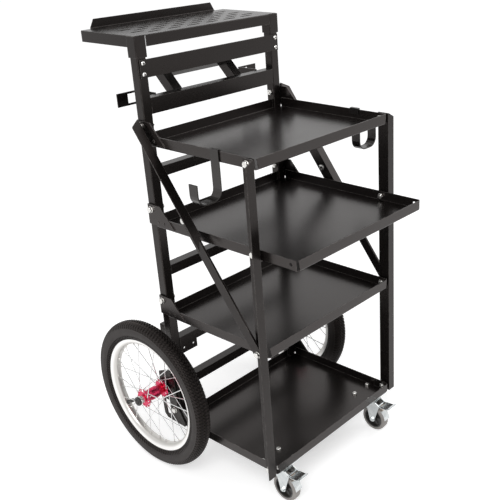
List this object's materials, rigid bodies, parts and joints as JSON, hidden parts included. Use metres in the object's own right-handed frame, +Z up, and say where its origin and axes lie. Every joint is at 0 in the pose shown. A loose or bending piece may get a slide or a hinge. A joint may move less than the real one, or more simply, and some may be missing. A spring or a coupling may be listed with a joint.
{
  "type": "folding sound cart",
  "caption": "Folding sound cart: a tall rear frame with a top tray, hinged shelves on linked front posts, folding stays, two spoked wheels and two swivel casters.",
  "frame": {"origin": "on the floor, under the middle of the cart's bounding box", "axes": "+Z up, +Y towards the tall frame and the large wheels, +X to the right seen from the front"},
  "size_m": [0.6404, 0.6966, 1.1255],
  "materials": {
    "black_coat": "satin powder coat",
    "zinc": "bright zinc plate",
    "rim_metal": "polished",
    "hub_metal": "red anodised",
    "tyre_rubber": "matt",
    "tread_rubber": "smooth grey",
    "core_plastic": "moulded"
  },
  "bodies": {
    "rear_frame": {"slat_1": "black_coat", "slat_2": "black_coat", "slat_3": "black_coat", "slat_4": "black_coat", "bracket_beam": "black_coat", "lower_beam": "black_coat", "top_tray": "black_coat", "push_handle": "black_coat", "upright_left": "black_coat", "cable_hanger_left": "black_coat", "axle_plate_left": "black_coat", "pivot_bolt_1_left": "zinc", "pivot_bolt_2_left": "zinc", "pivot_bolt_3_left": "zinc", "pivot_bolt_4_left": "zinc", "upright_right": "black_coat", "cable_hanger_right": "black_coat", "axle_plate_right": "black_coat", "pivot_bolt_1_right": "zinc", "pivot_bolt_2_right": "zinc", "pivot_bolt_3_right": "zinc", "pivot_bolt_4_right": "zinc"},
    "shelf_1": {"shelf_tray_1": "black_coat"},
    "shelf_2": {"shelf_tray_2": "black_coat"},
    "shelf_3": {"shelf_tray_3": "black_coat"},
    "bottom_shelf": {"shelf_tray_4": "black_coat", "caster_plate_left": "zinc", "caster_plate_right": "zinc"},
    "post_left": {"front_post_left": "black_coat", "front_bolt_1_left": "zinc", "front_bolt_2_left": "zinc", "front_bolt_3_left": "zinc", "front_bolt_4_left": "zinc"},
    "post_right": {"front_post_right": "black_coat", "front_bolt_1_right": "zinc", "front_bolt_2_right": "zinc", "front_bolt_3_right": "zinc", "front_bolt_4_right": "zinc"},
    "stay_upper_left": {"stay_angle_left": "black_coat"},
    "stay_upper_right": {"stay_angle_right": "black_coat"},
    "stay_lower_left": {"stay_bar_left": "black_coat"},
    "stay_lower_right": {"stay_bar_right": "black_coat"},
    "hook_left": {"lip_hook_left": "black_coat"},
    "hook_right": {"lip_hook_right": "black_coat"},
    "wheel_left": {"tyre_left": "tyre_rubber", "rim_left": "rim_metal", "hub_left": "hub_metal"},
    "wheel_right": {"tyre_right": "tyre_rubber", "rim_right": "rim_metal", "hub_right": "hub_metal"},
    "caster_left": {"caster_fork_left": "zinc"},
    "caster_right": {"caster_fork_right": "zinc"},
    "caster_wheel_left": {"caster_tread_left": "tread_rubber", "caster_core_left": "core_plastic"},
    "caster_wheel_right": {"caster_tread_right": "tread_rubber", "caster_core_right": "core_plastic"},
    "pedal_left": {"caster_pedal_left": "zinc"},
    "pedal_right": {"caster_pedal_right": "zinc"}
  },
  "joints": [
    {"name": "fold", "type": "hinge", "parent": "rear_frame", "child": "shelf_1", "pos_m": [0, 0.1101, 0.9048], "axis": [-1, 0, 0], "range_deg": [0, 80]},
    {"name": "shelf_2_fold", "type": "hinge", "parent": "rear_frame", "child": "shelf_2", "pos_m": [0, 0.1101, 0.7053], "axis": [-1, 0, 0], "range_deg": [0, 80]},
    {"name": "shelf_3_fold", "type": "hinge", "parent": "rear_frame", "child": "shelf_3", "pos_m": [0, 0.1101, 0.4654], "axis": [-1, 0, 0], "range_deg": [0, 80]},
    {"name": "bottom_shelf_fold", "type": "hinge", "parent": "rear_frame", "child": "bottom_shelf", "pos_m": [0, 0.1101, 0.1453], "axis": [-1, 0, 0], "range_deg": [0, 80]},
    {"name": "post_fold_left", "type": "hinge", "parent": "shelf_1", "child": "post_left", "pos_m": [-0.2325, -0.23, 0.8754], "axis": [-1, 0, 0], "range_deg": [-80, 0]},
    {"name": "post_fold_right", "type": "hinge", "parent": "shelf_1", "child": "post_right", "pos_m": [0.2325, -0.23, 0.8754], "axis": [-1, 0, 0], "range_deg": [-80, 0]},
    {"name": "stay_upper_fold_left", "type": "hinge", "parent": "rear_frame", "child": "stay_upper_left", "pos_m": [-0.237, 0.1101, 0.9048], "axis": [-1, 0, 0], "range_deg": [-36, 0]},
    {"name": "stay_lower_fold_left", "type": "hinge", "parent": "post_left", "child": "stay_lower_left", "pos_m": [-0.241, -0.23, 0.436], "axis": [-1, 0, 0], "range_deg": [0, 139]},
    {"name": "hook_lift_left", "type": "slide", "parent": "shelf_1", "child": "hook_left", "axis": [0, 0, 1], "range_m": [0, 0.1285]},
    {"name": "stay_upper_fold_right", "type": "hinge", "parent": "rear_frame", "child": "stay_upper_right", "pos_m": [0.237, 0.1101, 0.9048], "axis": [-1, 0, 0], "range_deg": [-36, 0]},
    {"name": "stay_lower_fold_right", "type": "hinge", "parent": "post_right", "child": "stay_lower_right", "pos_m": [0.241, -0.23, 0.436], "axis": [-1, 0, 0], "range_deg": [0, 139]},
    {"name": "hook_lift_right", "type": "slide", "parent": "shelf_1", "child": "hook_right", "axis": [0, 0, 1], "range_m": [0, 0.1285]},
    {"name": "wheel_spin_left", "type": "hinge", "parent": "rear_frame", "child": "wheel_left", "pos_m": [-0.2684, 0.1453, 0.203], "axis": [1, 0, 0], "continuous": true},
    {"name": "caster_swivel_left", "type": "hinge", "parent": "bottom_shelf", "child": "caster_left", "pos_m": [-0.1833, -0.2103, 0.0938], "axis": [0, 0, 1], "continuous": true},
    {"name": "caster_spin_left", "type": "hinge", "parent": "caster_left", "child": "caster_wheel_left", "pos_m": [-0.1833, -0.2353, 0.0375], "axis": [1, 0, 0], "continuous": true},
    {"name": "brake_pedal_left", "type": "hinge", "parent": "caster_left", "child": "pedal_left", "pos_m": [-0.1833, -0.2543, 0.0833], "axis": [1, 0, 0], "range_deg": [0, 12]},
    {"name": "wheel_spin_right", "type": "hinge", "parent": "rear_frame", "child": "wheel_right", "pos_m": [0.2684, 0.1453, 0.203], "axis": [1, 0, 0], "continuous": true},
    {"name": "caster_swivel_right", "type": "hinge", "parent": "bottom_shelf", "child": "caster_right", "pos_m": [0.1833, -0.2103, 0.0938], "axis": [0, 0, 1], "continuous": true},
    {"name": "caster_spin_right", "type": "hinge", "parent": "caster_right", "child": "caster_wheel_right", "pos_m": [0.1833, -0.2353, 0.0375], "axis": [1, 0, 0], "continuous": true},
    {"name": "brake_pedal_right", "type": "hinge", "parent": "caster_right", "child": "pedal_right", "pos_m": [0.1833, -0.2543, 0.0833], "axis": [1, 0, 0], "range_deg": [0, 12]}
  ],
  "couplings": [
    {"joint": "shelf_2_fold", "follows": "fold", "ratio": 1},
    {"joint": "shelf_3_fold", "follows": "fold", "ratio": 1},
    {"joint": "bottom_shelf_fold", "follows": "fold", "ratio": 1},
    {"joint": "post_fold_left", "follows": "fold", "ratio": -1},
    {"joint": "post_fold_right", "follows": "fold", "ratio": -1},
    {"joint": "stay_upper_fold_left", "follows": "fold", "ratio": -0.45},
    {"joint": "stay_lower_fold_left", "follows": "fold", "ratio": 1.73},
    {"joint": "hook_lift_left", "follows": "fold", "m_per_rad": 0.0917},
    {"joint": "stay_upper_fold_right", "follows": "fold", "ratio": -0.45},
    {"joint": "stay_lower_fold_right", "follows": "fold", "ratio": 1.73},
    {"joint": "hook_lift_right", "follows": "fold", "m_per_rad": 0.0917}
  ]
}
